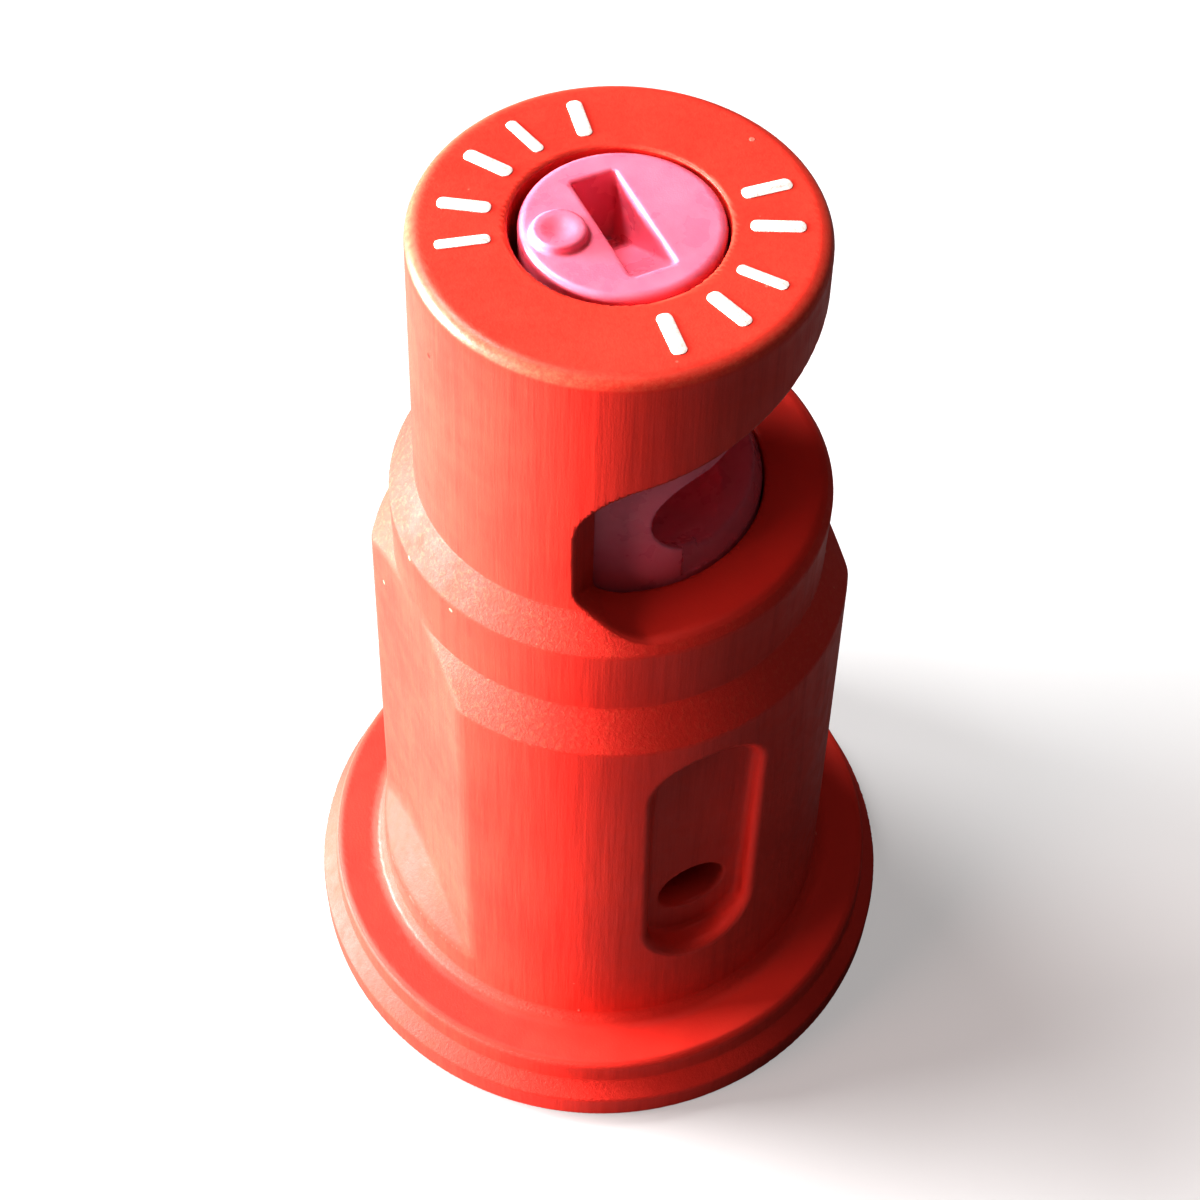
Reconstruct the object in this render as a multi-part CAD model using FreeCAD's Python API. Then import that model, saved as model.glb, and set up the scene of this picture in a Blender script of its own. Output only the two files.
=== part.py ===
import FreeCAD, Part
import os, math
from FreeCAD import Vector as V

# Air-induction deflector spray tip: a red moulded body with a round flange at the inlet end,
# a ceramic deflector in its head and a push-in injector with a ceramic metering disc.
# Frame: z = 0 at the flange underside (inlet end), +Z towards the head, +X the way the fan leaves.
# All dimensions in millimetres.

# ---------------------------------------------------------------- driving dimensions
# body, outside
flange_r = 7.5            # standard 15 mm tip flange
flange_tier_r = 7.08      # upper tier of the rim
flange_h = 2.03
tier_ledge_z = 1.30       # foot of the upper tier's wall
tier_wall_z = 0.88        # top of the lower tier's wall
base_fillet = 0.42        # between flange top and shank
shank_r_low = 5.74        # at the flange
shank_r_high = 5.35       # below the lower shoulder
shank_top_z = 13.84
collar_r = 4.74           # middle cylinder
collar_z0 = 14.73
collar_z1 = 16.53
head_r_low = 4.17
head_z0 = 17.29
head_r_high = 4.00
head_edge_r = 0.30
total_h = 23.87

flat_x = 4.72             # half of the width across the flats at flat_ref_z
flat_ref_z = 14.0
flat_draft = 0.020        # the flats spread towards the flange, like the shank
flat_z1 = 15.0
# the flats end in a steep conical ledge above the flange
ledge_z = 3.10
ledge_r = 5.72
ledge_slope = 1.732

# air pockets at -Y and +Y
pocket_half_w = 1.27
pocket_z0 = 4.80
pocket_z1 = 13.05
pocket_floor_y = 4.98
pocket_edge_r = 0.26
air_hole_r = 0.85
air_hole_z = 6.75

# spray window, cut right across the head along Y and open towards +X
win_floor_z = 16.80
win_back_x = -2.40
win_cut_x = -1.53         # start of the slanted corner between floor and back
win_cut_z = 17.56         # its end on the back
win_cut_r = 0.25
win_jamb_y = 3.32         # the window's two end walls start here on the outside
win_jamb_slope = 1.30     # and run inwards at this slope, towards +X
win_roof_z0 = 21.35       # height of the roof plane at x = 0
win_roof_slope = 0.35

# body, inside
mouth_r = 4.60
mouth_depth = 1.30
ring_bore_r = 3.90
ring_bore_z = 5.00
gallery_r = 3.60
gallery_z = 8.60
insert_bore_r = 3.25
insert_seat_z = 20.90     # roof that the ceramic's shoulder bears on
head_hole_r = 2.08

# ceramic deflector
insert_r = 3.20
insert_z0 = 13.60
insert_lip_z = 17.30
insert_lip_bevel = 0.22
insert_shoulder_z = 20.85
neck_r = 1.965
neck_x = 0.07             # the neck sits slightly towards +X in its hole
neck_edge_r = 0.16
slot_len = 2.68
slot_wid = 0.90
slot_depth = 1.75
slot_low_end = 0.12       # depth at the -Y end
boss_r = 0.53
boss_x = -1.22
boss_y = 0.17
boss_h = 0.17
dimple_r = 0.27
dimple_depth = 0.05
scoop_x = 0.55
scoop_z = 18.75
scoop_r = 2.08
scoop_half_len = 3.72
scoop_front_x = 2.25
outlet_r = 0.62
outlet_x = -0.72

# ring seal under the ceramic
seal_ring_r = 2.80
seal_cord_r = 0.42
seal_z = 13.155

# venturi tube
tube_r = 3.22
tube_flange_r = 3.55
tube_flange_z0 = 7.95
tube_flange_z1 = 8.57
tube_top_z = 12.70
tube_spigot_r = 2.30
tube_spigot_z = 13.52
tube_nose_r = 2.35
tube_nose_z = 7.05
tube_mouth_r = 1.45
throat_r = 0.90
throat_z0 = 8.30
throat_z1 = 9.30
tube_exit_r = 1.75

# injector holder (pulls out of the inlet end)
holder_face_z = 0.20
holder_flange_r = 4.54
holder_flange_z = 1.26
holder_barrel_r = 3.86
holder_barrel_z = 4.75
holder_nose_r = 2.10
holder_nose_z = 6.10
groove_r = 3.03
groove_z0 = 2.58
groove_z1 = 3.62
notch_w = 1.6
notch_depth = 0.9
inlet_r = 2.25
inlet_z = 2.30
disc_pocket_r = 1.60
disc_seat_z = 5.05
jet_exit_r = 1.05

# ring on the holder
ring_mid_r = 3.47
ring_cord_r = 0.41
ring_z = 3.10

# ceramic metering disc
disc_r = 1.58
disc_z0 = 3.30
disc_z1 = 5.02
disc_hole_r = 0.60
disc_funnel_r = 1.25
disc_funnel_depth = 0.75

# ---------------------------------------------------------------- helpers


def rounded_wire(pts, plane="xz"):
    """Closed wire through (a, b[, radius]) points; a corner with a radius gets a tangent arc."""
    n = len(pts)
    ins, outs, mids = [], [], []
    for i in range(n):
        p = pts[i]
        a0 = pts[i - 1]
        a1 = pts[(i + 1) % n]
        r = p[2] if len(p) > 2 else 0.0
        P = (p[0], p[1])
        if r <= 0:
            ins.append(P)
            outs.append(P)
            mids.append(None)
            continue
        u = (a0[0] - P[0], a0[1] - P[1])
        v = (a1[0] - P[0], a1[1] - P[1])
        lu, lv = math.hypot(*u), math.hypot(*v)
        u = (u[0] / lu, u[1] / lu)
        v = (v[0] / lv, v[1] / lv)
        ang = math.acos(max(-1.0, min(1.0, u[0] * v[0] + u[1] * v[1])))
        t = r / math.tan(ang / 2)
        b = (u[0] + v[0], u[1] + v[1])
        lb = math.hypot(*b)
        b = (b[0] / lb, b[1] / lb)
        d = r / math.sin(ang / 2)
        c = (P[0] + b[0] * d, P[1] + b[1] * d)
        ins.append((P[0] + u[0] * t, P[1] + u[1] * t))
        outs.append((P[0] + v[0] * t, P[1] + v[1] * t))
        mids.append((c[0] - b[0] * r, c[1] - b[1] * r))

    def to3(q):
        if plane == "xz":
            return V(q[0], 0, q[1])
        if plane == "yz":
            return V(0, q[0], q[1])
        return V(q[0], q[1], 0)

    edges = []
    for i in range(n):
        if mids[i] is not None:
            edges.append(Part.Arc(to3(ins[i]), to3(mids[i]), to3(outs[i])).toShape())
        a, b = outs[i], ins[(i + 1) % n]
        if math.hypot(a[0] - b[0], a[1] - b[1]) > 1e-6:
            edges.append(Part.makeLine(to3(a), to3(b)))
    return Part.Wire(edges)


def turned(pts):
    """Solid of revolution about Z from an (r, z[, radius]) outline."""
    return Part.Face(rounded_wire(pts)).revolve(V(0, 0, 0), V(0, 0, 1), 360)


def prism_y(pts, y0, y1):
    """Outline in XZ, extruded from y0 to y1."""
    f = Part.Face(rounded_wire(pts))
    f.translate(V(0, y0, 0))
    return f.extrude(V(0, y1 - y0, 0))


def cyl(r, z0, z1, x=0.0, y=0.0):
    return Part.makeCylinder(r, z1 - z0, V(x, y, z0), V(0, 0, 1))


def box(x0, x1, y0, y1, z0, z1):
    return Part.makeBox(x1 - x0, y1 - y0, z1 - z0, V(x0, y0, z0))


def try_fillet(solid, edges, r):
    if not edges:
        raise RuntimeError("no edges to round")
    out = solid.makeFillet(r, edges)
    if not out.isValid() or out.Volume <= 0:
        raise RuntimeError("rounding failed")
    return out


# ---------------------------------------------------------------- nozzle body

outer = turned([
    (0, 0), (flange_r, 0, 0.13), (flange_r, tier_wall_z, 0.14), (flange_tier_r + 0.03, tier_ledge_z, 0.10),
    (flange_tier_r, flange_h, 0.20), (shank_r_low + 0.01, flange_h, base_fillet),
    (shank_r_high, shank_top_z, 0.12), (collar_r, collar_z0, 0.12), (collar_r, collar_z1, 0.10),
    (head_r_low, head_z0, 0.10), (head_r_high, total_h, head_edge_r), (0, total_h)])

# wrench flats
body = outer
ledge = turned([(0, ledge_z - 0.1), (ledge_r, ledge_z - 0.1), (ledge_r, ledge_z),
                (ledge_r - 1.2, ledge_z + 1.2 * ledge_slope), (0, ledge_z + 1.2 * ledge_slope)])
for s in (1, -1):
    lo = flat_x + flat_draft * (flat_ref_z - ledge_z)
    hi = flat_x + flat_draft * (flat_ref_z - flat_z1)
    side = prism_y([(s * lo, ledge_z), (s * 9.0, ledge_z), (s * 9.0, flat_z1), (s * hi, flat_z1)], -6, 6)
    body = body.cut(side.cut(ledge))

# air pockets: rounded-end recesses with a flat floor
for s in (1, -1):
    w = pocket_half_w
    zc0, zc1 = pocket_z0 + w, pocket_z1 - w
    e = [Part.makeLine(V(-w, 0, zc0), V(-w, 0, zc1)),
         Part.Arc(V(-w, 0, zc1), V(0, 0, pocket_z1), V(w, 0, zc1)).toShape(),
         Part.makeLine(V(w, 0, zc1), V(w, 0, zc0)),
         Part.Arc(V(w, 0, zc0), V(0, 0, pocket_z0), V(-w, 0, zc0)).toShape()]
    f = Part.Face(Part.Wire(e))
    f.translate(V(0, s * pocket_floor_y, 0))
    body = body.cut(f.extrude(V(0, s * 3.0, 0)))

# round the pocket rims
rim = []
for ed in body.Edges:
    c = ed.CenterOfMass
    b = ed.BoundBox
    if abs(c.y) > pocket_floor_y + 0.15 and b.ZMin > pocket_z0 - 0.1 and b.ZMax < pocket_z1 + 0.1 \
            and max(abs(b.XMin), abs(b.XMax)) < pocket_half_w + 0.02:
        p = ed.valueAt(ed.FirstParameter)
        q = ed.valueAt(ed.LastParameter)
        if abs(math.hypot(p.x, p.y) - 5.5) < 0.3 and abs(math.hypot(q.x, q.y) - 5.5) < 0.3 \
                and abs(p.y) > pocket_floor_y + 0.05 and abs(q.y) > pocket_floor_y + 0.05:
            rim.append(ed)
print("pocket rim edges", len(rim))
body = try_fillet(body, rim, pocket_edge_r)

# bores, from the inlet end
bores = turned([
    (0, -1), (mouth_r + 0.12, -1), (mouth_r + 0.12, 0), (mouth_r, 0.12), (mouth_r, mouth_depth),
    (ring_bore_r + 0.15, mouth_depth), (ring_bore_r, mouth_depth + 0.3), (ring_bore_r, ring_bore_z),
    (gallery_r, ring_bore_z + 0.15), (gallery_r, gallery_z), (insert_bore_r, gallery_z),
    (insert_bore_r, insert_seat_z), (head_hole_r, insert_seat_z), (head_hole_r, total_h - 0.08),
    (head_hole_r + 0.08, total_h), (head_hole_r + 0.08, total_h + 1), (0, total_h + 1)])

# spray window
far_x = 9.0


def roof(x):
    return win_roof_z0 + win_roof_slope * x


window = prism_y([
    (far_x, win_floor_z), (win_cut_x, win_floor_z, win_cut_r), (win_back_x, win_cut_z, win_cut_r),
    (win_back_x, roof(win_back_x), 1.15), (far_x, roof(far_x))], -6, 6)
plan = Part.Face(rounded_wire([
    (far_x, -6.0), (win_back_x - 0.5, -6.0), (win_back_x - 0.5, -win_jamb_y - 0.5 / win_jamb_slope),
    (win_back_x + win_jamb_slope * win_jamb_y, 0.0),
    (win_back_x - 0.5, win_jamb_y + 0.5 / win_jamb_slope), (win_back_x - 0.5, 6.0), (far_x, 6.0)], "xy"))
plan.translate(V(0, 0, 15))
window = window.common(plan.extrude(V(0, 0, 15)))
body = body.cut(window)

# air holes into the gallery
for s in (1, -1):
    body = body.cut(Part.makeCylinder(air_hole_r, 3.0, V(0, s * 3.0, air_hole_z), V(0, s, 0)))
body = body.cut(bores)
nozzle_body = body

# ---------------------------------------------------------------- ceramic deflector
lower = turned([(0, insert_z0), (insert_r, insert_z0, 0.15), (insert_r, insert_shoulder_z, 0.12),
                (0, insert_shoulder_z)])
roof_block = turned([(0, 17.0), (insert_r, 17.0), (insert_r, 23.4), (0, 23.4)])
slope_cut = prism_y([(-6, roof(-6) - 0.10), (6, roof(6) - 0.10), (6, 30), (-6, 30)], -6, 6)
roof_block = roof_block.cut(slope_cut).common(box(-0.55, 6, -6, 6, 17, 24))
neck = turned([(0, 20.0), (neck_r, 20.0), (neck_r, total_h, neck_edge_r), (0, total_h)])
neck.translate(V(neck_x, 0, 0))
ins = lower.fuse(roof_block).fuse(neck)

# scoop: a spheroid about an axis along Y, opened towards +X under a roof that rises outwards
el = Part.Ellipse(V(scoop_x, scoop_half_len, scoop_z), V(scoop_x + scoop_r, 0, scoop_z), V(scoop_x, 0, scoop_z))
prof = el.toShape()
full = Part.Face(Part.Wire([prof]))
halff = full.common(box(scoop_x, scoop_x + 5, -6, 6, scoop_z - 1, scoop_z + 1))
spheroid = halff.Faces[0].revolve(V(scoop_x, 0, scoop_z), V(0, 1, 0), 360)
# the same section carried outwards and upwards
el2 = Part.Ellipse(V(scoop_x, scoop_half_len, scoop_z), V(scoop_x, 0, scoop_z + scoop_r), V(scoop_x, 0, scoop_z))
sec = Part.Face(Part.Wire([el2.toShape()]))
duct = sec.extrude(V(5.0, 0, 5.0 * win_roof_slope))
duct = duct.common(box(scoop_x - 0.5, 8, -6, 6, insert_lip_z, 24))
front = box(scoop_x, 8, -6, 6, insert_lip_z, scoop_z + 0.6)
nose_cut = box(scoop_front_x, 8, -6, 6, insert_lip_z, 24)
ins = ins.cut(spheroid).cut(duct).cut(front).cut(nose_cut)

# bevel on the front of the lip
bevel_tool = turned([(insert_r - insert_lip_bevel, insert_lip_z + 0.001), (insert_r - 0.02, 16.86),
                     (insert_r + 0.6, 16.86), (insert_r + 0.6, insert_lip_z + 0.5),
                     (insert_r - insert_lip_bevel, insert_lip_z + 0.5)])
ins = ins.cut(bevel_tool.common(box(0.10, 6, -6, 6, 16, 18)))

# outlet orifice up into the scoop, with its entry funnel
ins = ins.cut(cyl(outlet_r, insert_z0 - 1, 18.0, outlet_x, 0))
ins = ins.cut(Part.makeCone(1.7, outlet_r, 1.9, V(outlet_x * 0.6, 0, insert_z0 - 0.001), V(0, 0, 1)))

# slot and gate boss in the top face
sl = box(-slot_wid / 2, slot_wid / 2, -slot_len / 2, slot_len / 2, total_h - slot_depth, total_h + 1)
# its floor is a ramp, shallow at the -Y end
ramp = Part.Face(rounded_wire([(-slot_len / 2 - 0.01, total_h - slot_depth - 0.01), (slot_len / 2, total_h - slot_depth - 0.01),
                               (-slot_len / 2 - 0.01, total_h - slot_low_end)], "yz"))
ramp.translate(V(-slot_wid / 2 - 0.1, 0, 0))
ramp = ramp.extrude(V(slot_wid + 0.2, 0, 0))
sl = sl.cut(ramp)
sl.translate(V(neck_x, 0, 0))
ins = ins.cut(sl)
boss = turned([(0, total_h - 0.3), (boss_r, total_h - 0.3), (boss_r, total_h + boss_h, 0.07), (0, total_h + boss_h)])
dim = turned([(0, total_h + boss_h - dimple_depth), (dimple_r - 0.08, total_h + boss_h - dimple_depth, 0.05),
              (dimple_r, total_h + boss_h), (dimple_r, total_h + boss_h + 0.2), (0, total_h + boss_h + 0.2)])
boss = boss.cut(dim)
boss.translate(V(boss_x + neck_x, boss_y, 0))
ins = ins.fuse(boss)
deflector_insert = ins.removeSplitter()

# ---------------------------------------------------------------- seals
deflector_seal = Part.makeTorus(seal_ring_r, seal_cord_r, V(0, 0, seal_z), V(0, 0, 1))
holder_ring = Part.makeTorus(ring_mid_r, ring_cord_r, V(0, 0, ring_z), V(0, 0, 1))

# ---------------------------------------------------------------- venturi tube
venturi_tube = turned([
    (tube_nose_r, tube_nose_z, 0.1), (tube_nose_r, tube_flange_z0, 0.15), (tube_flange_r, tube_flange_z0, 0.08),
    (tube_flange_r, tube_flange_z1), (tube_r, tube_flange_z1), (tube_r, tube_top_z, 0.08), (tube_spigot_r, tube_top_z),
    (tube_spigot_r, tube_spigot_z, 0.06), (tube_exit_r, tube_spigot_z), (throat_r, throat_z1), (throat_r, throat_z0),
    (tube_mouth_r, tube_nose_z)])

# ---------------------------------------------------------------- injector holder
holder = turned([
    (inlet_r + 0.35, holder_face_z), (holder_flange_r, holder_face_z, 0.15), (holder_flange_r, holder_flange_z, 0.08),
    (holder_barrel_r, holder_flange_z), (holder_barrel_r, groove_z0, 0.06), (groove_r, groove_z0), (groove_r, groove_z1),
    (holder_barrel_r, groove_z1, 0.06), (holder_barrel_r, holder_barrel_z, 0.25), (holder_nose_r, holder_barrel_z, 0.2),
    (holder_nose_r, holder_nose_z, 0.15), (jet_exit_r + 0.15, holder_nose_z), (jet_exit_r, holder_nose_z - 0.2),
    (jet_exit_r, disc_seat_z), (disc_pocket_r, disc_seat_z), (disc_pocket_r, inlet_z + 0.3), (inlet_r, inlet_z - 0.35),
    (inlet_r, holder_face_z + 0.35)])
# two notches in the flange for a fingernail or a small blade
for s in (1, -1):
    y0, y1 = (holder_flange_r - notch_depth, 6) if s > 0 else (-6, -holder_flange_r + notch_depth)
    holder = holder.cut(box(-notch_w / 2, notch_w / 2, y0, y1, -1, holder_flange_z - 0.35))
injector_holder = holder

# ---------------------------------------------------------------- metering disc
metering_orifice = turned([
    (disc_funnel_r, disc_z0), (disc_r, disc_z0, 0.08), (disc_r, disc_z1, 0.08), (disc_hole_r, disc_z1),
    (disc_hole_r, disc_z0 + disc_funnel_depth)])

nodes = {
    "nozzle_body": nozzle_body,
    "deflector_insert": deflector_insert,
    "deflector_seal": deflector_seal,
    "venturi_tube": venturi_tube,
    "injector_holder": injector_holder,
    "holder_o_ring": holder_ring,
    "metering_orifice": metering_orifice,
}

os.makedirs("parts", exist_ok=True)
for name, shape in nodes.items():
    if len(shape.Solids) != 1:
        print("WARNING", name, "has", len(shape.Solids), "solids")
    if not shape.isValid():
        print("WARNING", name, "is not valid")
    solid = shape.Solids[0] if len(shape.Solids) == 1 else shape
    bb = solid.BoundBox
    print("%-18s vol %8.3f  x %.2f..%.2f y %.2f..%.2f z %.2f..%.2f" % (
        name, solid.Volume, bb.XMin, bb.XMax, bb.YMin, bb.YMax, bb.ZMin, bb.ZMax))
    solid.exportStep("parts/%s.step" % name)
names = list(nodes)
for i, a in enumerate(names):
    for b in names[i + 1:]:
        v = nodes[a].common(nodes[b]).Volume
        if v > 1e-6:
            print("overlap", a, b, round(v, 5))
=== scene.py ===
import bpy, math, random
import numpy as np
import openvdb
from mathutils import Vector, Matrix


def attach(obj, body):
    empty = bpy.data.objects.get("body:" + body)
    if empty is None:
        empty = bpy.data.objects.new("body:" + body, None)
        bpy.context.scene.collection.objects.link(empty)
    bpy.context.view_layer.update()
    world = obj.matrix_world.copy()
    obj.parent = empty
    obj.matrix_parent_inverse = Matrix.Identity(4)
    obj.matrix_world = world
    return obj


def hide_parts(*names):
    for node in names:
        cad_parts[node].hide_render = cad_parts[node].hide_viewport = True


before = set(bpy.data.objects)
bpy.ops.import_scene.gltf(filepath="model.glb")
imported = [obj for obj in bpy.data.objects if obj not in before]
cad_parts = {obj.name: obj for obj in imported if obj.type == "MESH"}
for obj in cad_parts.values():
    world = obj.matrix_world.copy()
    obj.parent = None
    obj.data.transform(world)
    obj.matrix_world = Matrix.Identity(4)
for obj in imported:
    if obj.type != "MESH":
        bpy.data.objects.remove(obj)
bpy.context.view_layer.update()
MM = 0.001
scene = bpy.context.scene

# ------------------------------------------------------------------ sizes (mm), the CAD model's own
flange_r, flange_tier_r, flange_h, tier_ledge_z, tier_wall_z = 7.5, 7.08, 2.03, 1.30, 0.88
base_fillet, shank_r_low, shank_r_high, shank_top_z = 0.42, 5.74, 5.35, 13.84
collar_r, collar_z0, collar_z1 = 4.74, 14.73, 16.53
head_r_low, head_z0, head_r_high, head_edge_r, total_h = 4.17, 17.29, 4.00, 0.30, 23.87
flat_x, flat_draft, flat_z1, ledge_z, ledge_r, ledge_slope = 4.72, 0.020, 15.0, 3.10, 5.72, 1.732
pocket_half_w, pocket_z0, pocket_z1, pocket_floor_y, pocket_edge_r = 1.27, 4.80, 13.05, 4.98, 0.26
air_hole_r, air_hole_z = 0.85, 6.75
win_floor_z, win_back_x, win_cut_x, win_cut_z, win_cut_r, win_jamb_y, win_jamb_slope = 16.80, -2.40, -1.53, 17.56, 0.25, 3.32, 1.30
win_roof_z0, win_roof_slope = 21.35, 0.35
mouth_r, mouth_depth, ring_bore_r, ring_bore_z, gallery_r, gallery_z = 4.60, 1.30, 3.90, 5.00, 3.60, 8.60
insert_bore_r, insert_seat_z, head_hole_r = 3.25, 20.90, 2.08
insert_r, insert_z0, insert_lip_z, insert_lip_bevel, insert_shoulder_z = 3.20, 13.60, 17.30, 0.22, 20.85
neck_r, neck_x, neck_edge_r = 1.965, 0.07, 0.16
slot_len, slot_wid, slot_depth, slot_low_end = 2.68, 0.90, 1.75, 0.12
boss_r, boss_x, boss_y, boss_h, dimple_r, dimple_depth = 0.53, -1.22, 0.17, 0.17, 0.27, 0.05
scoop_x, scoop_z, scoop_r, scoop_half_len, scoop_front_x = 0.55, 18.75, 2.08, 3.72, 2.25
outlet_r, outlet_x = 0.62, -0.72


# ------------------------------------------------------------------ solid shapes as distance functions
def rint(a, b, r):
    """Intersection whose edge is rounded to radius r."""
    if r <= 0:
        return np.maximum(a, b)
    u = np.maximum(a + r, 0)
    v = np.maximum(b + r, 0)
    return np.minimum(-r, np.maximum(a, b)) + np.sqrt(u * u + v * v)


def rdif(a, b, r):
    return rint(a, -b, r)


def runi(a, b, r):
    return -rint(-a, -b, r)


def outline(pts, step=7.5):
    """(r, z[, radius]) corners to a polyline with the rounded corners drawn in."""
    out = []
    n = len(pts)
    for i, p in enumerate(pts):
        P = np.array(p[:2], float)
        rad = p[2] if len(p) > 2 else 0.0
        if rad <= 0:
            out.append(P)
            continue
        u = np.array(pts[i - 1][:2], float) - P
        v = np.array(pts[(i + 1) % n][:2], float) - P
        u /= np.linalg.norm(u)
        v /= np.linalg.norm(v)
        ang = math.acos(max(-1, min(1, float(u @ v))))
        t = rad / math.tan(ang / 2)
        b = (u + v) / np.linalg.norm(u + v)
        c = P + b * rad / math.sin(ang / 2)
        s, e = P + u * t - c, P + v * t - c
        turn = math.pi - ang
        k = max(2, int(math.degrees(turn) / step) + 1)
        for j in range(k + 1):
            f = j / k
            q = (math.sin((1 - f) * turn) * s + math.sin(f * turn) * e) / math.sin(turn)
            out.append(c + q)
    return np.array(out)


class Turned:
    """Distance to a solid of revolution, from a table over (r, z)."""

    def __init__(self, pts, rmax, z0, z1, h=0.0125):
        poly = outline(pts)
        self.h, self.z0 = h, z0
        self.rg = np.arange(0, rmax + h, h, dtype=np.float32)
        self.zg = np.arange(z0, z1 + h, h, dtype=np.float32)
        Z, R = np.meshgrid(self.zg, self.rg, indexing="ij")
        d = np.full(Z.shape, 1e9, np.float32)
        inside = np.zeros(Z.shape, bool)
        for a, b in zip(poly, np.roll(poly, -1, 0)):
            e = b - a
            L = float(e @ e)
            if L < 1e-12:
                continue
            wr, wz = R - np.float32(a[0]), Z - np.float32(a[1])
            t = np.clip((wr * e[0] + wz * e[1]) / L, 0, 1).astype(np.float32)
            if not (abs(a[0]) < 1e-9 and abs(b[0]) < 1e-9):     # the axis is no wall
                dr, dz = wr - t * np.float32(e[0]), wz - t * np.float32(e[1])
                np.minimum(d, dr * dr + dz * dz, out=d)
            if a[1] != b[1]:
                cross = (self.zg >= min(a[1], b[1])) & (self.zg < max(a[1], b[1]))
                zz = self.zg[cross]
                rc = a[0] + (zz - a[1]) / (b[1] - a[1]) * (b[0] - a[0])
                inside[cross] ^= R[cross] < rc[:, None]
        d = np.sqrt(d)
        self.T = np.where(inside, -d, d)

    def __call__(self, r, z):
        h = self.h
        if np.ndim(z) == 0:
            k = (float(z) - self.z0) / h
            k0 = int(min(max(math.floor(k), 0), len(self.zg) - 2))
            f = min(max(k - k0, 0.0), 1.0)
            row = self.T[k0] * (1 - f) + self.T[k0 + 1] * f
            return np.interp(r, self.rg, row)
        a = np.clip(r / h, 0, len(self.rg) - 1.001)
        b = np.clip((z - self.z0) / h, 0, len(self.zg) - 1.001)
        i, j = a.astype(int), b.astype(int)
        fa, fb = a - i, b - j
        T = self.T
        return ((T[j, i] * (1 - fa) + T[j, i + 1] * fa) * (1 - fb) + (T[j + 1, i] * (1 - fa) + T[j + 1, i + 1] * fa) * fb)


body_outside = Turned([
    (0, 0), (flange_r, 0, 0.13), (flange_r, tier_wall_z, 0.14), (flange_tier_r + 0.03, tier_ledge_z, 0.10),
    (flange_tier_r, flange_h, 0.20), (shank_r_low + 0.01, flange_h, base_fillet),
    (shank_r_high, shank_top_z, 0.16), (collar_r, collar_z0, 0.16), (collar_r, collar_z1, 0.14),
    (head_r_low, head_z0, 0.14), (head_r_high, total_h, head_edge_r), (0, total_h)], 8.0, -0.5, 24.5)
body_bores = Turned([
    (0, -1), (mouth_r + 0.12, -1), (mouth_r + 0.12, 0), (mouth_r, 0.12), (mouth_r, mouth_depth),
    (ring_bore_r + 0.15, mouth_depth), (ring_bore_r, mouth_depth + 0.3), (ring_bore_r, ring_bore_z),
    (gallery_r, ring_bore_z + 0.15), (gallery_r, gallery_z), (insert_bore_r, gallery_z),
    (insert_bore_r, insert_seat_z), (head_hole_r, insert_seat_z), (head_hole_r, total_h),
    (head_hole_r, total_h + 1), (0, total_h + 1)], 8.0, -0.5, 24.5)


def body_sdf(x, y, z):
    r = np.sqrt(x * x + y * y)
    d = body_outside(r, z)
    # wrench flats
    ax, ay = np.abs(x), np.abs(y)
    c = (ledge_z + (ledge_r - r) * ledge_slope - z) / math.sqrt(1 + ledge_slope ** 2)
    c = rint(flat_x + flat_draft * (14.0 - z) - ax, c, 0.20)
    c = np.maximum(c, np.maximum(ledge_z - z, z - flat_z1))
    d = rdif(d, c, 0.10)
    # air pockets
    zc = np.clip(z, pocket_z0 + pocket_half_w, pocket_z1 - pocket_half_w)
    ob = np.sqrt(x * x + (z - zc) ** 2) - pocket_half_w
    c = rint(ob, pocket_floor_y - ay, 0.16)
    d = rdif(d, c, pocket_edge_r)
    # spray window
    k = 1 / math.sqrt(1 + win_roof_slope ** 2)
    sx, sz = win_cut_z - win_floor_z, win_cut_x - win_back_x
    c = rint(win_floor_z - z, -((x - win_cut_x) * sx + (z - win_floor_z) * sz) / math.hypot(sx, sz), win_cut_r)
    c = rint(c, win_back_x - x, win_cut_r)
    c = rint(c, (z - win_roof_z0 - win_roof_slope * x) * k, 1.15)
    # its two end walls run inwards at a slant
    jamb = (win_back_x + win_jamb_slope * (win_jamb_y - ay) - x) / math.hypot(1, win_jamb_slope)
    c = rint(c, jamb, 0.12)
    d = rdif(d, c, 0.12)
    # air holes and bores
    c = np.maximum(np.sqrt(x * x + (z - air_hole_z) ** 2) - air_hole_r, 3.0 - ay)
    d = rdif(d, c, 0.07)
    d = rdif(d, body_bores(r, z), 0.07)
    return d


insert_lower = Turned([(0, insert_z0), (insert_r, insert_z0, 0.15), (insert_r, insert_shoulder_z, 0.12),
                       (0, insert_shoulder_z)], 4.2, 13.0, 24.5)
insert_neck = Turned([(0, 19.0), (neck_r, 19.0), (neck_r, total_h, neck_edge_r), (0, total_h)], 4.2, 13.0, 24.5)
insert_boss = Turned([(0, 22.5), (boss_r, 22.5), (boss_r, total_h + boss_h, 0.07), (0, total_h + boss_h)],
                     4.2, 13.0, 24.5)


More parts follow.
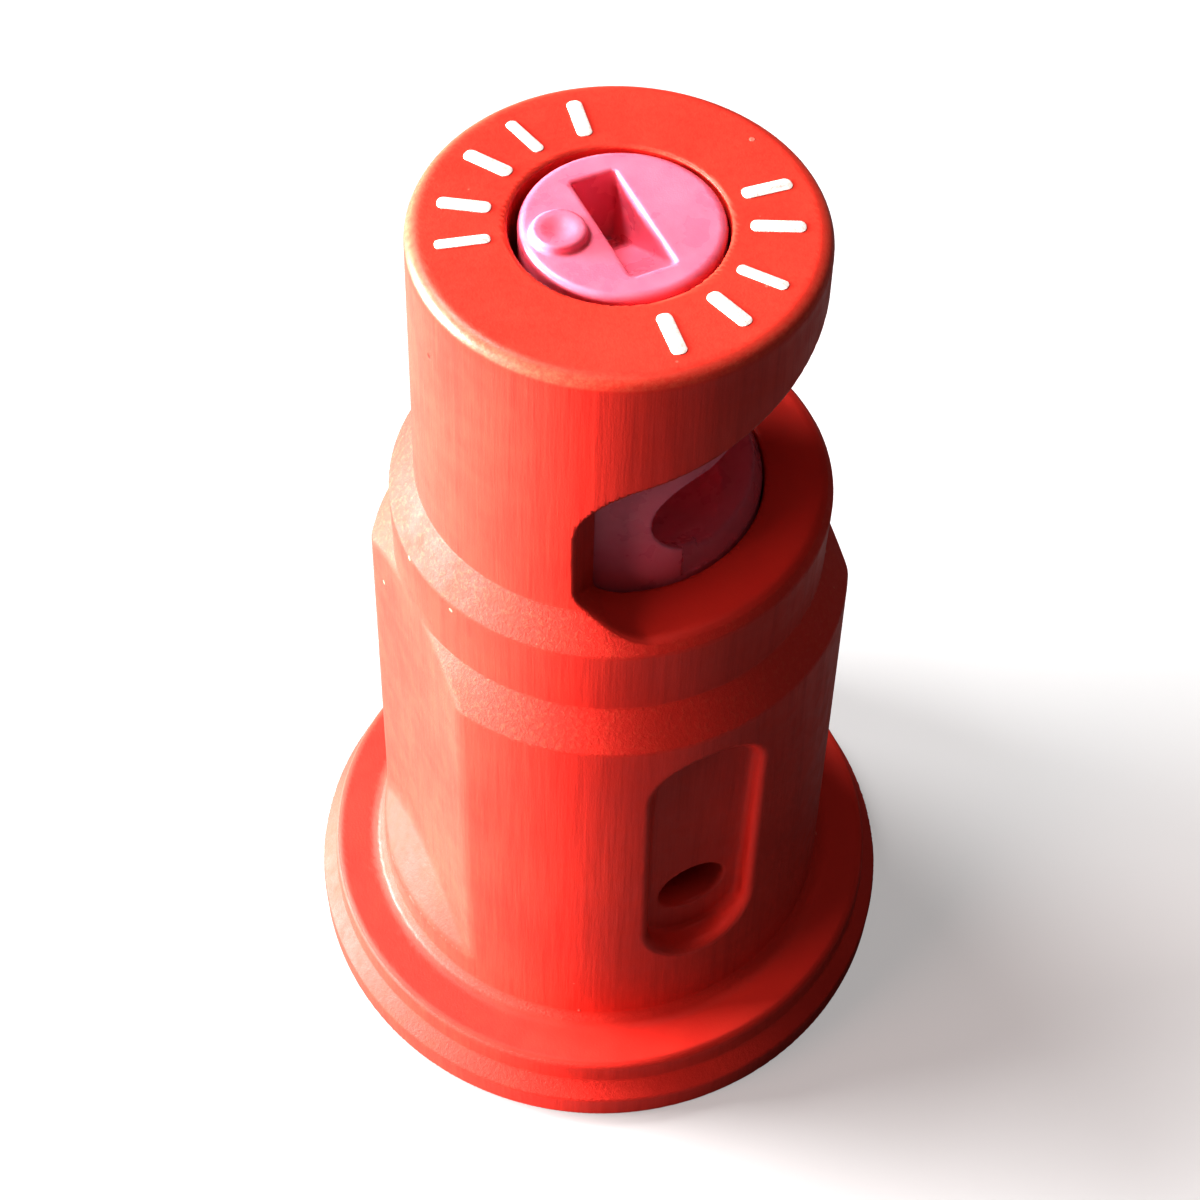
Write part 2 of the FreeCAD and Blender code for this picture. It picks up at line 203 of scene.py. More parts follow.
def insert_sdf(x, y, z):
    r = np.sqrt(x * x + y * y)
    d = insert_lower(r, z)
    k = 1 / math.sqrt(1 + win_roof_slope ** 2)
    # part that follows the window's roof
    b = rint(r - insert_r, (z - win_roof_z0 + 0.10 - win_roof_slope * x) * k, 0.10)
    b = np.maximum(np.maximum(b, -0.55 - x), 17.0 - z)
    d = np.minimum(d, b)
    rn = np.sqrt((x - neck_x) ** 2 + y * y)
    d = runi(d, insert_neck(rn, z), 0.05)
    # scoop
    px, py, pz = (x - scoop_x) / scoop_r, y / scoop_half_len, (z - scoop_z) / scoop_r
    q = np.sqrt(px * px + py * py + pz * pz)
    g = np.sqrt((px / scoop_r) ** 2 + (py / scoop_half_len) ** 2 + (pz / scoop_r) ** 2) + 1e-6
    ball = (q - 1) * np.maximum(q, 0.3) / g
    zs = z - scoop_z - win_roof_slope * (x - scoop_x)
    pz = zs / scoop_r
    q = np.sqrt(py * py + pz * pz)
    g = np.sqrt((py / scoop_half_len) ** 2 + (pz / scoop_r) ** 2) + 1e-6
    duct = np.maximum((q - 1) * np.maximum(q, 0.3) / g * k, np.maximum(scoop_x - x, insert_lip_z - z))
    front = np.maximum(np.maximum(scoop_x - x, insert_lip_z - z), z - scoop_z - 0.6)
    open_side = np.minimum(np.minimum(ball, duct), front)
    nose = rint(scoop_front_x - x, insert_lip_z - z, 0.10)
    open_side = np.minimum(open_side, nose)
    d = rdif(d, open_side, 0.09)
    # bevel on the front of the lip
    cone = (r - (insert_r - 0.02) + (z - 16.86) * (insert_lip_bevel - 0.02) / (insert_lip_z - 16.86)) * 0.91
    bev = np.maximum(np.maximum(-cone, 0.10 - x), np.maximum(16.86 - z, z - insert_lip_z - 0.4))
    d = rdif(d, bev, 0.05)
    # outlet orifice and its entry funnel
    ro = np.sqrt((x - outlet_x) ** 2 + y * y)
    d = rdif(d, np.maximum(ro - outlet_r, z - 18.0), 0.05)
    rf = np.sqrt((x - outlet_x * 0.6) ** 2 + y * y)
    fun = (rf - (1.7 - (z - insert_z0) * (1.7 - outlet_r) / 1.9)) * 0.87
    d = rdif(d, np.maximum(fun, z - insert_z0 - 1.9), 0.05)
    # slot
    xs = np.abs(x - neck_x) - slot_wid / 2
    ys = np.abs(y) - slot_len / 2
    m = (slot_depth - slot_low_end) / slot_len
    fl = (total_h - slot_low_end - m * (y + slot_len / 2) - z) / math.sqrt(1 + m * m)
    s = rint(rint(xs, ys, 0.08), fl, 0.06)
    s = np.maximum(s, 21.0 - z)
    d = rdif(d, s, 0.07)
    # gate boss with its dimple
    rb = np.sqrt((x - boss_x - neck_x) ** 2 + (y - boss_y) ** 2)
    d = runi(d, np.maximum(insert_boss(rb, z), 23.3 - z), 0.07)
    rs = (dimple_r ** 2 + dimple_depth ** 2) / (2 * dimple_depth)
    dm = np.sqrt(rb * rb + (z - total_h - boss_h + dimple_depth - rs) ** 2) - rs
    d = rdif(d, dm, 0.04)
    return d


def solid_mesh(name, fn, lo, hi, h, adapt=0.0, target=190000):
    """Closed mesh of fn < 0, its points moved onto the surface and its normals taken from fn."""
    n = [int(math.ceil((b - a) / h)) + 1 for a, b in zip(lo, hi)]
    xs = lo[0] + h * np.arange(n[0])
    ys = lo[1] + h * np.arange(n[1])
    X, Y = np.meshgrid(xs, ys, indexing="ij")
    vol = np.empty(n, np.float32)
    for k in range(n[2]):
        vol[:, :, k] = fn(X, Y, float(lo[2] + h * k))
    np.clip(vol, -4 * h, 4 * h, out=vol)
    grid = openvdb.FloatGrid(4 * h)
    grid.copyFromArray(vol)
    pts, tris, quads = grid.convertToPolygons(isovalue=0.0, adaptivity=adapt)
    P = np.array(pts, float) * h + np.array(lo)
    faces = [np.array(tris, int).reshape(-1, 3), np.array(quads, int).reshape(-1, 4)]

    def grad(Q, e=0.012):
        f = fn(Q[:, 0], Q[:, 1], Q[:, 2])
        g = np.stack([fn(Q[:, 0] + e * (a == 0), Q[:, 1] + e * (a == 1), Q[:, 2] + e * (a == 2))
                      - fn(Q[:, 0] - e * (a == 0), Q[:, 1] - e * (a == 1), Q[:, 2] - e * (a == 2)) for a in range(3)], 1) / (2 * e)
        return f, g

    Q = faces[1]
    E2 = [Q[:, [0, 1]], Q[:, [1, 2]], Q[:, [2, 3]], Q[:, [3, 0]]]
    T = faces[0]
    if len(T):
        E2 += [T[:, [0, 1]], T[:, [1, 2]], T[:, [2, 0]]]
    E2 = np.concatenate(E2)
    ea, eb = np.concatenate([E2[:, 0], E2[:, 1]]), np.concatenate([E2[:, 1], E2[:, 0]])
    cnt = np.maximum(np.bincount(ea, minlength=len(P)), 1)[:, None]
    for it in range(8):
        f, g = grad(P)
        gg = np.maximum((g * g).sum(1), 0.25)
        step = np.clip(f / gg, -0.4 * h, 0.4 * h)
        P = P - g * step[:, None]
        if it < 5:
            # even out the spacing along the surface
            nn = g / np.sqrt(gg)[:, None]
            L = np.stack([np.bincount(ea, weights=P[eb, a], minlength=len(P)) for a in range(3)], 1) / cnt - P
            L = 0.6 * (L - nn * (L * nn).sum(1)[:, None])
            P = P + L * np.minimum(1.0, 0.35 * h / np.maximum(np.linalg.norm(L, axis=1), 1e-9))[:, None]
    f, g = grad(P)
    N = g / np.maximum(np.linalg.norm(g, axis=1), 1e-9)[:, None]
    me = bpy.data.meshes.new(name)
    allf = [list(map(int, t)) for t in faces[0]] + [list(map(int, q)) for q in faces[1]]
    # outward winding
    v = 0.0
    for F in faces:
        if len(F):
            a, b, c = P[F[:, 0]], P[F[:, 1]], P[F[:, 2]]
            v += (a * np.cross(b, c)).sum()
            if F.shape[1] == 4:
                v += (P[F[:, 0]] * np.cross(P[F[:, 2]], P[F[:, 3]])).sum()
    if v < 0:
        allf = [q[::-1] for q in allf]
    me.from_pydata((P * MM).tolist(), [], allf)
    me.validate()
    me.shade_smooth()
    me.normals_split_custom_set_from_vertices(N.tolist())
    ob = bpy.data.objects.new(name, me)
    scene.collection.objects.link(ob)
    print("mesh", name, "verts", len(P), "faces", len(allf), "tris", len(faces[0]) + 2 * len(faces[1]), "max off", float(np.abs(f).max()))
    return ob


H = 0.074
body = solid_mesh("moulded_body", body_sdf, (-7.8, -7.8, -0.35), (7.8, 7.8, 24.3), H, 0.003)
insert = solid_mesh("ceramic_deflector", insert_sdf, (-3.5, -3.5, 13.2), (3.5, 3.5, 24.4), 0.05, 0.0015)
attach(body, "tip"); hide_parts("nozzle_body")
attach(insert, "tip"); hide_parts("deflector_insert")


# ------------------------------------------------------------------ turned pieces
def lathe(name, pts, segs, node, body_name, dx=0.0, sharp=28, step=12.0):
    """Closed turned mesh from an (r, z[, radius]) outline."""
    poly = outline(pts, step)
    keep = [poly[0]]
    for q in poly[1:]:
        if np.linalg.norm(q - keep[-1]) > 1e-4:
            keep.append(q)
    if np.linalg.norm(keep[0] - keep[-1]) < 1e-4:
        keep.pop()
    # long runs get extra rings so that the faces stay compact
    prof = []
    for a, b in zip(keep, keep[1:] + keep[:1]):
        n = max(1, int(np.linalg.norm(b - a) / 0.45))
        for j in range(n):
            prof.append(a + (b - a) * j / n)
    m = len(prof)
    verts, faces = [], []
    for i in range(segs):
        t = 2 * math.pi * i / segs
        c, s = math.cos(t), math.sin(t)
        for r, z in prof:
            verts.append(((r * c + dx) * MM, r * s * MM, z * MM))
    for i in range(segs):
        j = (i + 1) % segs
        for k in range(m):
            l = (k + 1) % m
            faces.append((i * m + k, j * m + k, j * m + l, i * m + l))
    me = bpy.data.meshes.new(name)
    me.from_pydata(verts, [], faces)
    me.validate()
    area2 = sum(a[0] * b[1] - b[0] * a[1] for a, b in zip(prof, prof[1:] + prof[:1]))
    if area2 > 0:
        me.flip_normals()
    me.shade_smooth()
    me.set_sharp_from_angle(angle=math.radians(sharp))
    ob = bpy.data.objects.new(name, me)
    scene.collection.objects.link(ob)
    finish_piece(ob, body_name, node)
    return ob


def finish_piece(ob, body_name, node):
    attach(ob, body_name)
    if node:
        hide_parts(node)


SEG = 176
E = 0.05
tube = lathe("venturi_core", [
    (2.35, 7.05, 0.1), (2.35, 7.95, 0.15), (3.55, 7.95, 0.08), (3.55, 8.57, E), (3.22, 8.57, 0.04), (3.22, 12.70, 0.08),
    (2.30, 12.70, 0.05), (2.30, 13.52, 0.06), (1.75, 13.52, 0.05), (0.90, 9.30, 0.5), (0.90, 8.30, 0.3), (1.45, 7.05, 0.06)],
    SEG, "venturi_tube", "tip")
disc = lathe("metering_disc", [
    (1.25, 3.30, 0.04), (1.58, 3.30, 0.08), (1.58, 5.02, 0.08), (0.60, 5.02, 0.04), (0.60, 4.05, 0.06)],
    SEG, "metering_orifice", "injector")


def ring_outline(R0, z0, c, flash=0.012, n=36):
    """Cord section with a fine moulding line at the inner and outer radius."""
    pts = []
    for i in range(n):
        t = 2 * math.pi * i / n
        rr = c
        if i in (0, n // 2):
            rr = c + flash
        pts.append((R0 + rr * math.cos(t), z0 + rr * math.sin(t)))
    return pts


seal = lathe("deflector_seal_ring", ring_outline(2.80, 13.155, 0.42), SEG, "deflector_seal", "tip", sharp=60)
ring = lathe("holder_seal_ring", ring_outline(3.47, 3.10, 0.41), SEG, "holder_o_ring", "injector", sharp=60)

holder_turn = Turned([
    (2.60, 0.20), (4.54, 0.20, 0.15), (4.54, 1.26, 0.08), (3.86, 1.26, 0.05), (3.86, 2.58, 0.06), (3.03, 2.58, 0.05),
    (3.03, 3.62, 0.05), (3.86, 3.62, 0.06), (3.86, 4.75, 0.25), (2.10, 4.75, 0.2), (2.10, 6.10, 0.15), (1.20, 6.10),
    (1.05, 5.90), (1.05, 5.05), (1.60, 5.05), (1.60, 2.60), (2.25, 1.95), (2.25, 0.55)], 5.0, -0.2, 6.6)


def holder_sdf(x, y, z):
    d = holder_turn(np.sqrt(x * x + y * y), z)
    n = rint(rint(np.abs(x) - 0.8, 4.54 - 0.9 - np.abs(y), 0.12), z - 0.91, 0.10)
    return rdif(d, n, 0.06)


holder = solid_mesh("injector_carrier", holder_sdf, (-4.8, -4.8, -0.05), (4.8, 4.8, 6.35), 0.075, 0.0025)
finish_piece(holder, "injector", "injector_holder")

# ------------------------------------------------------------------ printed marks on the head's top
# plain radial bars in thick white paint
mark_az = [166, 147, 123, 103, 80, -97, -73, -53, -26, -6]


def mark_ring(verts, faces, az, r0, r1, w, h0, h1, rnd):
    """One raised pad with rounded ends and a rolled rim, running along a radius."""
    a = math.radians(az)
    er, et = np.array([math.cos(a), math.sin(a)]), np.array([-math.sin(a), math.cos(a)])
    n = 40
    base = len(verts)
    L, hw, cr = r1 - r0, w / 2, w * 0.42
    loop = []
    for cx, cy, t0 in ((L - cr, hw - cr, 0), (cr, hw - cr, 90), (cr, -hw + cr, 180), (L - cr, -hw + cr, 270)):
        for k in range(n // 4):
            t = math.radians(t0 + 90 * k / (n // 4 - 1))
            loop.append((cx + cr * math.cos(t), cy + cr * math.sin(t)))
    m = len(loop)
    wob = [1 + rnd.uniform(-0.02, 0.02) for _ in range(m)]
    cx = L / 2
    levels = [(h0, 0.0), (h1 - 0.008, 0.0), (h1, 0.030)]
    for hz, inset in levels:
        for (px, py), q in zip(loop, wob):
            dx, dy = px - cx, py
            # inset towards the pad's own centre line
            ln = max(abs(dy), 1e-6)
            sx = (L / 2 - inset) / (L / 2)
            sy = (hw - inset) / hw
            X, Y = cx + dx * sx, dy * sy * q
            p = er * (r0 + X) + et * Y
            verts.append((p[0] * MM, p[1] * MM, hz * MM))
    for l in range(len(levels) - 1):
        for k in range(m):
            j = (k + 1) % m
            faces.append((base + l * m + k, base + l * m + j, base + (l + 1) * m + j, base + (l + 1) * m + k))
    faces.append(tuple(base + (len(levels) - 1) * m + k for k in range(m)))
    faces.append(tuple(base + k for k in reversed(range(m))))


rnd = random.Random(11)
mv, mf = [], []
for i, az in enumerate(mark_az):
    ww = 0.30 if az not in (166, 103, -53) else 0.24
    mark_ring(mv, mf, az, 2.42 + rnd.uniform(-0.02, 0.02), 3.46 + rnd.uniform(-0.03, 0.02), ww, total_h - 0.03, total_h + 0.022, rnd)
me = bpy.data.meshes.new("top_marks")
me.from_pydata(mv, [], mf)
me.validate()
me.shade_smooth()
me.set_sharp_from_angle(angle=math.radians(50))
marks = bpy.data.objects.new("top_marks", me)
scene.collection.objects.link(marks)
finish_piece(marks, "tip", None)


# ------------------------------------------------------------------ materials
class Mat:
    def __init__(self, name):
        self.m = bpy.data.materials.new(name)
        self.m.use_nodes = True
        self.nt = self.m.node_tree
        self.nt.nodes.clear()
        self.out = self.nt.nodes.new("ShaderNodeOutputMaterial")
        self.p = self.nt.nodes.new("ShaderNodeBsdfPrincipled")
        self.nt.links.new(self.p.outputs[0], self.out.inputs[0])
        tc = self.nt.nodes.new("ShaderNodeTexCoord")
        self.pos = self.vmul(tc.outputs["Object"], (1000, 1000, 1000))      # mm
        self.nrm = tc.outputs["Normal"]

    def new(self, kind, **props):
        n = self.nt.nodes.new(kind)
        for k, v in props.items():
            setattr(n, k, v)
        return n

    def link(self, a, b):
        if isinstance(a, (int, float)):
            b.default_value = a
        elif isinstance(a, tuple):
            b.default_value = a if len(a) == len(b.default_value) else (*a, 1)
        else:
            self.nt.links.new(a, b)

    def vmul(self, v, k):
        n = self.new("ShaderNodeVectorMath", operation="MULTIPLY")
        self.link(v, n.inputs[0])
        n.inputs[1].default_value = k
        return n.outputs[0]

    def vadd(self, v, k):
        n = self.new("ShaderNodeVectorMath", operation="ADD")
        self.link(v, n.inputs[0])
        self.link(k, n.inputs[1])
        return n.outputs[0]

    def math(self, op, a, b=0.0, clamp=False):
        n = self.new("ShaderNodeMath", operation=op)
        n.use_clamp = clamp
        self.link(a, n.inputs[0])
        self.link(b, n.inputs[1])
        return n.outputs[0]

    def noise(self, vec, scale, detail=3.0, rough=0.55, dist=0.0):
        n = self.new("ShaderNodeTexNoise")
        self.link(vec, n.inputs["Vector"])
        n.inputs["Scale"].default_value = scale
        n.inputs["Detail"].default_value = detail
        n.inputs["Roughness"].default_value = rough
        n.inputs["Distortion"].default_value = dist
        return n.outputs["Fac"]

    def remap(self, v, a, b, c=0.0, d=1.0, smooth=True):
        n = self.new("ShaderNodeMapRange", interpolation_type="SMOOTHSTEP" if smooth else "LINEAR", clamp=True)
        self.link(v, n.inputs[0])
        for i, q in enumerate((a, b, c, d)):
            n.inputs[1 + i].default_value = q
        return n.outputs[0]

    def mix(self, f, a, b, blend="MIX"):
        n = self.new("ShaderNodeMix", data_type="RGBA", blend_type=blend, clamp_factor=True)
        self.link(f, n.inputs[0])
        self.link(a, n.inputs[6])
        self.link(b, n.inputs[7])
        return n.outputs[2]

    def xyz(self, v):
        n = self.new("ShaderNodeSeparateXYZ")
        self.link(v, n.inputs[0])
        return n.outputs

    def specks(self, scale, size, share, seed=0.0):
        """Small round spots on a few cells."""
        n = self.new("ShaderNodeTexVoronoi", feature="F1")
        self.link(self.vadd(self.pos, (seed, seed * 0.7, seed * 1.3)), n.inputs["Vector"])
        n.inputs["Scale"].default_value = scale
        d = self.remap(n.outputs["Distance"], size * 0.6, size, 1.0, 0.0)
        c = self.xyz(n.outputs["Color"])
        on = self.math("LESS_THAN", c[0], share)
        return self.math("MULTIPLY", d, on)

    def bump(self, height, strength, dist, prev=None):
        n = self.new("ShaderNodeBump")
        n.inputs["Strength"].default_value = strength
        n.inputs["Distance"].default_value = dist * MM
        self.link(height, n.inputs["Height"])
        if prev is not None:
            self.link(prev, n.inputs["Normal"])
        return n.outputs[0]

    def done(self, color, rough, normal=None, **sockets):
        self.link(color, self.p.inputs["Base Color"])
        self.link(rough, self.p.inputs["Roughness"])
        if normal is not None:
            self.link(normal, self.p.inputs["Normal"])
        for k, v in sockets.items():
            self.p.inputs[k.replace("_", " ")].default_value = v
        return self.m


def assign(ob, m):
    ob.data.materials.clear()
    ob.data.materials.append(m)


def band(M, v, a, b, soft):
    return M.math("MULTIPLY", M.remap(v, a - soft, a + soft), M.remap(v, b - soft, b + soft, 1.0, 0.0))


# moulded red plastic
M = Mat("moulded_red")
z = M.xyz(M.pos)[2]
nz = M.xyz(M.nrm)[2]
wall = M.remap(M.math("ABSOLUTE", nz), 0.15, 0.45, 1.0, 0.0)
cloud = M.noise(M.pos, 0.22, 2.0)
mottle = M.noise(M.pos, 1.6, 4.0, 0.6)
streak = M.noise(M.vmul(M.pos, (1, 1, 0.045)), 4.5, 4.0, 0.65)
fine_streak = M.noise(M.vmul(M.pos, (1, 1, 0.02)), 13.0, 2.0, 0.5)
grain = M.noise(M.pos, 22.0, 3.0, 0.6)
sparkle = M.noise(M.pos, 9.0, 5.0, 0.75)
cone = M.math("MULTIPLY", M.remap(nz, 0.25, 0.45), M.remap(nz, 0.72, 0.88, 1.0, 0.0))
# lighter spots on the shoulder slopes: scuff wear, and painted glints standing in for the sparkly highlights there
scuff_and_glint = M.math("MULTIPLY", cone, M.remap(sparkle, 0.50, 0.62))
scuff_and_glint = M.math("MULTIPLY", scuff_and_glint, M.remap(z, 13.4, 13.8))
# painted highlight: a lighter band along the rounded top edge of the head, where the key light glances off it
painted_rim_highlight = M.math("MULTIPLY", band(M, z, 23.62, 23.86, 0.05), M.remap(nz, 0.12, 0.4))
painted_rim_highlight = M.math("MULTIPLY", painted_rim_highlight, M.remap(sparkle, 0.34, 0.60, 0.45, 1.0))
dust = M.specks(0.62, 0.045, 0.45)
dust2 = M.specks(1.3, 0.05, 0.16, 5.3)
pit = M.specks(0.45, 0.05, 0.22, 11.0)
base = M.mix(M.remap(cloud, 0.35, 0.65), (0.71, 0.043, 0.029), (0.77, 0.054, 0.036))
base = M.mix(M.math("MULTIPLY", M.remap(streak, 0.42, 0.72), M.math("MULTIPLY", wall, 0.55)), base, (0.60, 0.033, 0.022))
base = M.mix(M.math("MULTIPLY", M.remap(fine_streak, 0.5, 0.75), M.math("MULTIPLY", wall, 0.22)), base, (0.80, 0.075, 0.045))
base = M.mix(M.math("MULTIPLY", M.remap(mottle, 0.4, 0.75), 0.25), base, (0.78, 0.060, 0.030))
# lightens the shoulder spots, part scuff wear and part painted glint
base = M.mix(M.math("MULTIPLY", scuff_and_glint, 0.14), base, (0.86, 0.22, 0.11))
# paints the top edge's highlight into the base colour
base = M.mix(M.math("MULTIPLY", painted_rim_highlight, 0.26), base, (0.90, 0.26, 0.15))
base = M.mix(M.math("MULTIPLY", dust, 0.45), base, (0.90, 0.36, 0.28))
base = M.mix(M.math("MULTIPLY", dust2, 0.35), base, (0.90, 0.32, 0.24))
base = M.mix(M.math("MULTIPLY", pit, 0.75), base, (0.16, 0.010, 0.006))
rough = M.math("ADD", M.remap(mottle, 0.3, 0.7, 0.38, 0.50), M.math("MULTIPLY", M.remap(streak, 0.4, 0.7), 0.06))
slope = M.math("MULTIPLY", cone, M.remap(z, 23.0, 23.4, 1.0, 0.0))
rough = M.math("ADD", rough, M.math("MULTIPLY", slope, 0.20), True)
rough = M.math("SUBTRACT", rough, M.remap(z, 23.3, 23.6, 0.0, 0.10), True)
n1 = M.bump(M.math("MULTIPLY", streak, wall), 0.35, 0.030)
n1 = M.bump(grain, 0.30, 0.012, n1)
n1 = M.bump(M.math("MULTIPLY", sparkle, slope), 0.45, 0.040, n1)
n1 = M.bump(M.math("SUBTRACT", dust, pit), 0.6, 0.02, n1)
red = M.done(base, rough, n1, Specular_IOR_Level=0.27)

# fired pink ceramic
M = Mat("fired_pink")
grain = M.noise(M.pos, 26.0, 3.0, 0.6)
mottle = M.noise(M.pos, 1.3, 3.0, 0.55)
dust = M.specks(1.1, 0.035, 0.35, 2.0)
base = M.mix(M.remap(mottle, 0.3, 0.7), (0.90, 0.195, 0.300), (0.94, 0.240, 0.350))
base = M.mix(M.math("MULTIPLY", dust, 0.6), base, (0.95, 0.70, 0.74))
base = M.mix(M.math("MULTIPLY", M.specks(0.8, 0.035, 0.2, 7.0), 0.3), base, (0.45, 0.05, 0.09))
rough = M.remap(mottle, 0.3, 0.7, 0.24, 0.36)
n1 = M.bump(grain, 0.25, 0.010)
n1 = M.bump(mottle, 0.12, 0.020, n1)
pink = M.done(base, rough, n1, Subsurface_Weight=0.25, Subsurface_Radius=(0.00045, 0.00012, 0.00016),
              Subsurface_Scale=1.0, Specular_IOR_Level=0.45)

# white marking paint
M = Mat("white_marking")
grain = M.noise(M.pos, 14.0, 3.0, 0.7)
base = M.mix(M.remap(grain, 0.35, 0.75), (0.88, 0.84, 0.80), (0.80, 0.62, 0.56))
white = M.done(base, M.remap(grain, 0.3, 0.7, 0.45, 0.65), M.bump(grain, 0.5, 0.02))

# black rubber of the rings
M = Mat("ring_rubber")
grain = M.noise(M.pos, 12.0, 4.0, 0.65)
lint = M.specks(1.8, 0.05, 0.2, 3.0)
base = M.mix(M.remap(grain, 0.35, 0.7), (0.010, 0.010, 0.011), (0.024, 0.023, 0.023))
base = M.mix(M.math("MULTIPLY", lint, 0.5), base, (0.20, 0.19, 0.18))
black = M.done(base, M.remap(grain, 0.3, 0.7, 0.42, 0.62), M.bump(grain, 0.4, 0.03))

# dark inner plastic
M = Mat("dark_acetal")
p_ = M.xyz(M.pos)
grain = M.noise(M.pos, 16.0, 3.0, 0.6)
swirl = M.noise(M.vmul(M.pos, (0.15, 0.15, 6.0)), 3.0, 3.0, 0.6)
mottle = M.noise(M.pos, 1.2, 3.0, 0.55)
base = M.mix(M.remap(mottle, 0.35, 0.7), (0.016, 0.017, 0.019), (0.034, 0.035, 0.038))
base = M.mix(M.math("MULTIPLY", M.specks(1.4, 0.05, 0.25, 9.0), 0.5), base, (0.22, 0.21, 0.20))
rough = M.remap(mottle, 0.3, 0.7, 0.30, 0.44)
n1 = M.bump(swirl, 0.25, 0.02)
n1 = M.bump(grain, 0.3, 0.012, n1)
dark = M.done(base, rough, n1)

assign(body, red)
assign(insert, pink)
assign(marks, white)
assign(seal, black)
assign(ring, black)
assign(tube, dark)
assign(holder, dark)
assign(disc, pink)

# ------------------------------------------------------------------ floor, light, camera
def ring_floor(name, r_in, radii, seg=128):
    """Level floor with a round opening hidden under the flange."""
    rr = [r_in] + radii
    v = [(r * math.cos(2 * math.pi * i / seg), r * math.sin(2 * math.pi * i / seg), -0.00003) for r in rr for i in range(seg)]
    f = []
    for k in range(len(rr) - 1):
        for i in range(seg):
            j = (i + 1) % seg
            f.append((k * seg + i, (k + 1) * seg + i, (k + 1) * seg + j, k * seg + j))
    me = bpy.data.meshes.new(name)
    me.from_pydata(v, [], f)
    ob = bpy.data.objects.new(name, me)
    scene.collection.objects.link(ob)
    return ob


floor = ring_floor("floor", 0.0071, [0.02, 0.06, 0.2, 0.6, 1.6])
fm = bpy.data.materials.new("floor_pale")
fm.use_nodes = True
nt = fm.node_tree
nt.nodes.clear()
o_ = nt.nodes.new("ShaderNodeOutputMaterial")
lp = nt.nodes.new("ShaderNodeLightPath")
g_ = nt.nodes.new("ShaderNodeNewGeometry")


def shader_mix(f, a, b):
    n = nt.nodes.new("ShaderNodeMixShader")
    nt.links.new(f, n.inputs[0])
    nt.links.new(a, n.inputs[1])
    nt.links.new(b, n.inputs[2])
    return n.outputs[0]


def diffuse(v):
    n = nt.nodes.new("ShaderNodeBsdfDiffuse")
    n.inputs[0].default_value = (v, v, v, 1)
    return n.outputs[0]


glow = nt.nodes.new("ShaderNodeEmission")
glow.inputs[0].default_value = (1, 1, 1, 1)
glow.inputs[1].default_value = 0.42
both = nt.nodes.new("ShaderNodeAddShader")
nt.links.new(glow.outputs[0], both.inputs[0])
nt.links.new(diffuse(0.34), both.inputs[1])
# pale to look at, but throwing little light back up at the object, and clear from underneath
top_side = shader_mix(lp.outputs["Is Camera Ray"], diffuse(0.16), both.outputs[0])
clear = nt.nodes.new("ShaderNodeBsdfTransparent")
nt.links.new(shader_mix(g_.outputs["Backfacing"], top_side, clear.outputs[0]), o_.inputs[0])
assign(floor, fm)

w = bpy.data.worlds.new("studio")
scene.world = w
w.use_nodes = True
wt = w.node_tree
bg = [n for n in wt.nodes if n.type == "BACKGROUND"][0]
bg.inputs[0].default_value = (1, 0.66, 0.62, 1)
bg.inputs[1].default_value = 0.035
pale = wt.nodes.new("ShaderNodeBackground")
pale.inputs[0].default_value = (1, 1, 1, 1)
pale.inputs[1].default_value = 0.80
wl = wt.nodes.new("ShaderNodeLightPath")
wm = wt.nodes.new("ShaderNodeMixShader")
wt.links.new(wl.outputs["Is Camera Ray"], wm.inputs[0])
wt.links.new(bg.outputs[0], wm.inputs[1])
wt.links.new(pale.outputs[0], wm.inputs[2])
wt.links.new(wm.outputs[0], [n for n in wt.nodes if n.type == "OUTPUT_WORLD"][0].inputs[0])


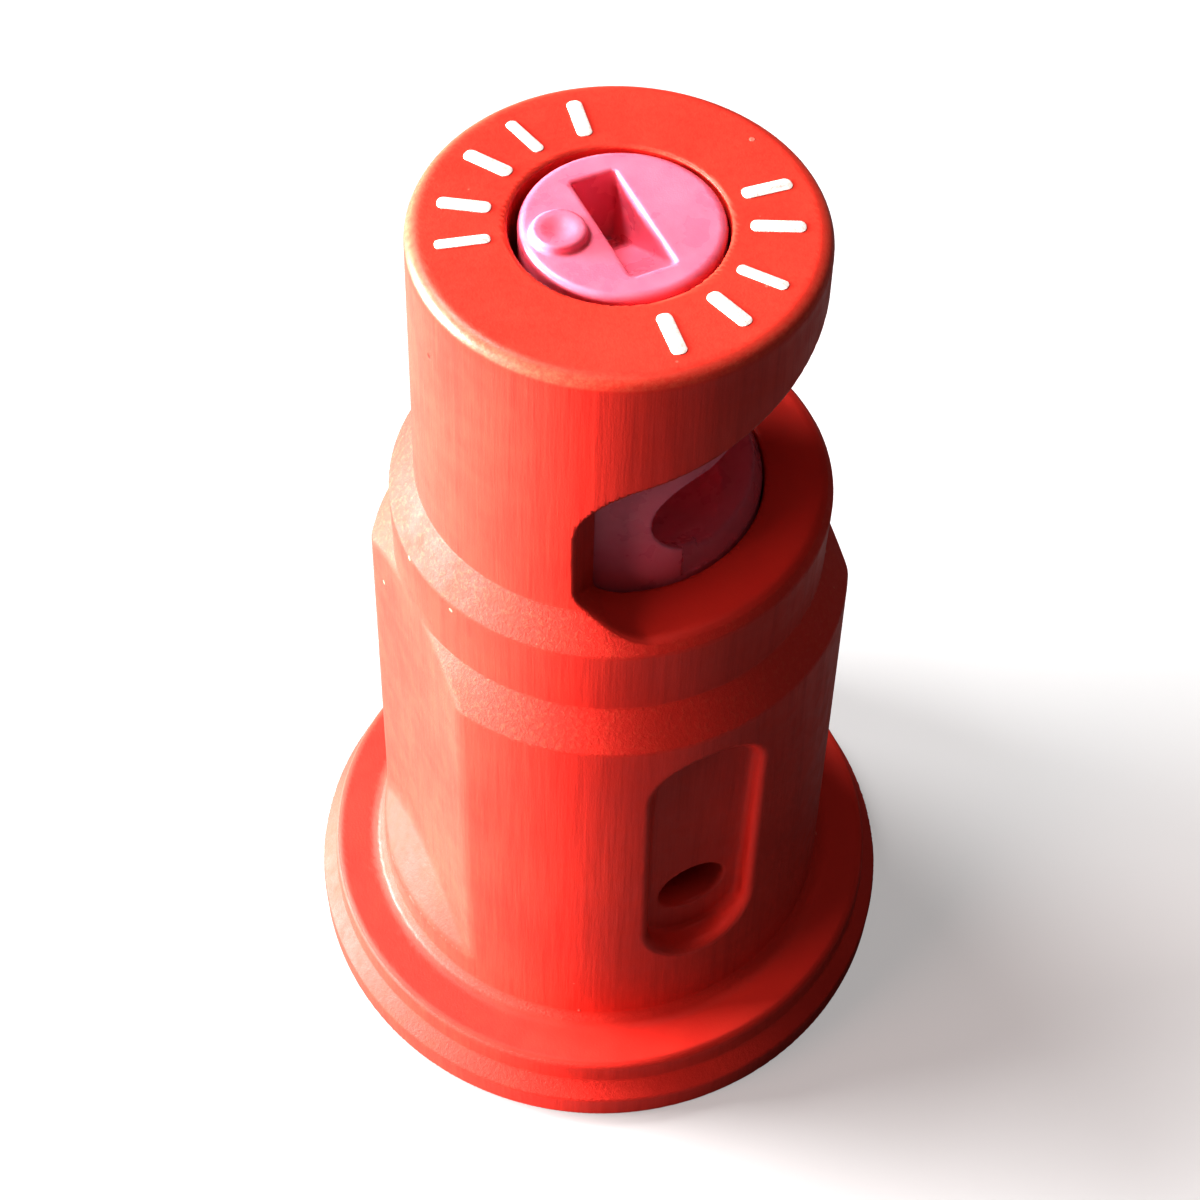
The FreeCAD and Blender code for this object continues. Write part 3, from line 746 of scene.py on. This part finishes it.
def area(name, az, el, dist, size, power, col=(1, 1, 1), aim=(0, 0, 0.012)):
    """Soft round lamp; azimuth and elevation are seen from the object, in its own frame."""
    L = bpy.data.lights.new(name, "AREA")
    L.shape = "DISK"
    L.size = size
    L.energy = power
    L.color = col
    o = bpy.data.objects.new(name, L)
    a, e = math.radians(az), math.radians(el)
    d = Vector((math.cos(a) * math.cos(e), math.sin(a) * math.cos(e), math.sin(e)))
    o.location = Vector(aim) + d * dist
    o.rotation_mode = "QUATERNION"
    o.rotation_quaternion = d.to_track_quat("Z", "Y")
    o.visible_camera = False
    scene.collection.objects.link(o)
    return o


# a low window on the left, slightly behind, and three weaker soft lamps
key = area("key_window", 150, 6, 0.30, 0.14, 8.2)
key.data.shape = "RECTANGLE"
key.data.size = 0.15
key.data.size_y = 0.10
area("fill_left", 182, 14, 0.30, 0.14, 0.95, (1, 0.66, 0.61))
area("back_left", 124, 54, 0.30, 0.11, 1.08)
area("overhead", 270, 78, 0.30, 0.14, 0.13, (1, 0.74, 0.68))

EL, ROLL, AZ0 = 0.9384003522476019, 0.02512791890619913, math.radians(-26)
FPX, CX, CY, TX, TZ, DIST = 2090.967906676608, 595.5557, 599.1231, -0.2682914728, 12.0783539, 48.15992095
right0, up0, back0 = Vector((1, 0, 0)), Vector((0, math.sin(EL), math.cos(EL))), Vector((0, -math.cos(EL), math.sin(EL)))
R = Matrix.Rotation(AZ0, 3, "Z")
r_ = R @ (math.cos(ROLL) * right0 + math.sin(ROLL) * up0)
u_ = R @ (-math.sin(ROLL) * right0 + math.cos(ROLL) * up0)
b_ = R @ back0
loc = R @ (Vector((TX, 0, TZ)) + DIST * back0) * MM
cam = bpy.data.cameras.new("camera")
co = bpy.data.objects.new("camera", cam)
co.matrix_world = Matrix(((r_.x, u_.x, b_.x, loc.x), (r_.y, u_.y, b_.y, loc.y), (r_.z, u_.z, b_.z, loc.z), (0, 0, 0, 1)))
cam.sensor_width = 36
cam.lens = 36 * FPX / 1200
cam.shift_x = (600 - CX) / 1200
cam.shift_y = (CY - 600) / 1200
cam.clip_start = 0.001
cam.clip_end = 10
scene.collection.objects.link(co)
scene.camera = co
scene.view_settings.view_transform = "Standard"
scene.view_settings.gamma = 0.8
